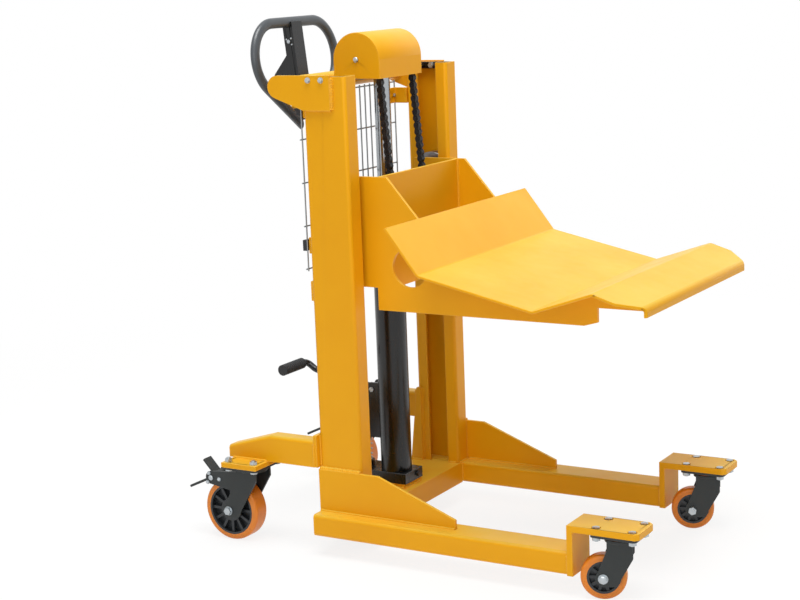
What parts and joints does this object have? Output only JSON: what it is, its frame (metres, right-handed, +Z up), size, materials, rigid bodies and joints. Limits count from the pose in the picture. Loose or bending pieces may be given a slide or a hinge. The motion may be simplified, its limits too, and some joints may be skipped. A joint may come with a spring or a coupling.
{
  "type": "roll lifter",
  "caption": "Hand-pushed straddle lifter with a pedal-pumped hydraulic mast and chain-driven bent cradle for raising and moving heavy rolls on casters.",
  "frame": {"origin": "on the floor under the middle of the overall box, casters trailing to the rear", "axes": "+X to the front, towards the cradle; +Y to the machine's left side; +Z up"},
  "size_m": [1.2112, 0.68, 1.234],
  "materials": {
    "yellow_paint": "semi-gloss amber yellow paint",
    "black_paint": "gloss black paint",
    "caster_coat": "fine-textured dark grey powder coat",
    "handle_plastic": "satin dark grey moulded sleeve",
    "zinc": "bright zinc plating",
    "wire_zinc": "dull zinc wire",
    "chrome": "polished hard chrome",
    "chain_steel": "oiled chain steel",
    "steel": "turned steel",
    "spring_steel": "drawn spring wire",
    "black_rubber": "ribbed black rubber",
    "hub_nylon": "moulded black nylon",
    "orange_tyre": "orange polyurethane",
    "orange_seal": "orange moulded dust ring"
  },
  "bodies": {
    "chassis": {"legs": "yellow_paint", "base_crossbar": "yellow_paint", "columns": "yellow_paint", "base_plates": "yellow_paint", "front_brackets": "yellow_paint", "rear_arms": "yellow_paint", "rear_arm_plates": "yellow_paint", "handle_lugs": "yellow_paint", "handle_cross_tube": "yellow_paint", "middle_crossbeam": "yellow_paint", "stop_bars": "black_paint", "wire_guard": "wire_zinc", "guard_brackets": "yellow_paint", "guard_clips": "black_rubber", "handle_loop": "handle_plastic", "handle_spine": "black_paint", "handle_tongue": "yellow_paint", "frame_bolts": "zinc", "pump_block": "black_paint", "cylinder_barrel": "black_paint", "cylinder_gland": "black_paint", "pedal_cheeks": "black_paint", "pump_spring": "spring_steel", "rear_chains": "chain_steel", "caster_plates": "caster_coat", "caster_seals": "orange_seal", "caster_bolts": "zinc"},
    "ram": {"ram_rod": "chrome", "crosshead": "black_paint", "pulley_axle": "zinc", "pulley_cover": "yellow_paint", "chain_wraps": "chain_steel"},
    "pulleys": {"chain_pulleys": "steel"},
    "carriage": {"carriage_sides": "yellow_paint", "carriage_cross_plates": "yellow_paint", "cradle_sheet": "yellow_paint", "roller_axles": "steel", "front_chains": "chain_steel"},
    "upper_rollers": {"upper_rollers": "steel"},
    "lower_rollers": {"lower_rollers": "steel"},
    "pedal": {"pedal_lever": "black_paint", "pedal_grip": "black_rubber"},
    "plunger": {"pump_plunger": "chrome", "plunger_cap": "black_paint"},
    "release_lever": {"release_lever": "black_paint"},
    "front_left_swivel": {"front_left_fork": "caster_coat"},
    "front_left_wheel": {"front_left_hub": "hub_nylon", "front_left_tyre": "orange_tyre"},
    "front_right_swivel": {"front_right_fork": "caster_coat"},
    "front_right_wheel": {"front_right_hub": "hub_nylon", "front_right_tyre": "orange_tyre"},
    "rear_left_swivel": {"rear_left_fork": "caster_coat"},
    "rear_left_wheel": {"rear_left_hub": "hub_nylon", "rear_left_tyre": "orange_tyre"},
    "rear_left_brake": {"rear_left_brake_pedal": "caster_coat"},
    "rear_right_swivel": {"rear_right_fork": "caster_coat"},
    "rear_right_wheel": {"rear_right_hub": "hub_nylon", "rear_right_tyre": "orange_tyre"},
    "rear_right_brake": {"rear_right_brake_pedal": "caster_coat"}
  },
  "joints": [
    {"name": "ram_lift", "type": "slide", "parent": "chassis", "child": "ram", "axis": [0, 0, 1], "range_m": [-0.22, 0.1], "deforming": ["rear_chains"]},
    {"name": "carriage_lift", "type": "slide", "parent": "ram", "child": "carriage", "axis": [0, 0, 1], "range_m": [-0.22, 0.1], "deforming": ["front_chains"]},
    {"name": "pulley_spin", "type": "hinge", "parent": "ram", "child": "pulleys", "pos_m": [-0.18638, 0, 1.136], "axis": [0, 1, 0], "range_deg": [-132, 288]},
    {"name": "upper_roller_spin", "type": "hinge", "parent": "carriage", "child": "upper_rollers", "pos_m": [-0.17538, 0, 0.841], "axis": [0, 1, 0], "range_deg": [-516, 235]},
    {"name": "lower_roller_spin", "type": "hinge", "parent": "carriage", "child": "lower_rollers", "pos_m": [-0.17538, 0, 0.662], "axis": [0, 1, 0], "range_deg": [-235, 516]},
    {"name": "pedal_press", "type": "hinge", "parent": "chassis", "child": "pedal", "pos_m": [-0.22938, 0, 0.335], "axis": [0, -1, 0], "range_deg": [0, 20], "stiffness_Nm_per_rad": 8, "springref_deg": -22.92},
    {"name": "plunger_stroke", "type": "slide", "parent": "chassis", "child": "plunger", "axis": [0, 0, -1], "range_m": [0, 0.012], "deforming": ["pump_spring"]},
    {"name": "release_pull", "type": "hinge", "parent": "chassis", "child": "release_lever", "pos_m": [-0.41941, 0, 1.17577], "axis": [0, 1, 0], "range_deg": [0, 18], "stiffness_Nm_per_rad": 0.8, "springref_deg": -20.05},
    {"name": "front_left_swivel_turn", "type": "hinge", "parent": "chassis", "child": "front_left_swivel", "pos_m": [0.52562, 0.26, 0], "axis": [0, 0, 1], "continuous": true},
    {"name": "front_left_wheel_roll", "type": "hinge", "parent": "front_left_swivel", "child": "front_left_wheel", "pos_m": [0.49158, 0.24828, 0.05], "axis": [-0.3256, 0.9455, 0], "continuous": true},
    {"name": "front_right_swivel_turn", "type": "hinge", "parent": "chassis", "child": "front_right_swivel", "pos_m": [0.52562, -0.26, 0], "axis": [0, 0, 1], "continuous": true},
    {"name": "front_right_wheel_roll", "type": "hinge", "parent": "front_right_swivel", "child": "front_right_wheel", "pos_m": [0.49158, -0.27172, 0.05], "axis": [-0.3256, 0.9455, 0], "continuous": true},
    {"name": "rear_left_swivel_turn", "type": "hinge", "parent": "chassis", "child": "rear_left_swivel", "pos_m": [-0.42238, 0.26, 0], "axis": [0, 0, 1], "continuous": true},
    {"name": "rear_left_wheel_roll", "type": "hinge", "parent": "rear_left_swivel", "child": "rear_left_wheel", "pos_m": [-0.47838, 0.26, 0.075], "axis": [0, 1, 0], "continuous": true},
    {"name": "rear_left_brake_press", "type": "hinge", "parent": "rear_left_swivel", "child": "rear_left_brake", "pos_m": [-0.52538, 0.26, 0.152], "axis": [0, -1, 0], "range_deg": [0, 16]},
    {"name": "rear_right_swivel_turn", "type": "hinge", "parent": "chassis", "child": "rear_right_swivel", "pos_m": [-0.42238, -0.26, 0], "axis": [0, 0, 1], "continuous": true},
    {"name": "rear_right_wheel_roll", "type": "hinge", "parent": "rear_right_swivel", "child": "rear_right_wheel", "pos_m": [-0.47838, -0.26, 0.075], "axis": [0, 1, 0], "continuous": true},
    {"name": "rear_right_brake_press", "type": "hinge", "parent": "rear_right_swivel", "child": "rear_right_brake", "pos_m": [-0.52538, -0.26, 0.152], "axis": [0, -1, 0], "range_deg": [0, 16]}
  ],
  "couplings": [
    {"joint": "carriage_lift", "follows": "ram_lift", "ratio": 1},
    {"joint": "pulley_spin", "follows": "ram_lift", "rad_per_m": -22.727},
    {"joint": "upper_roller_spin", "follows": "ram_lift", "rad_per_m": 40.816},
    {"joint": "lower_roller_spin", "follows": "ram_lift", "rad_per_m": -40.816},
    {"joint": "plunger_stroke", "follows": "pedal_press", "m_per_rad": 0.034}
  ]
}
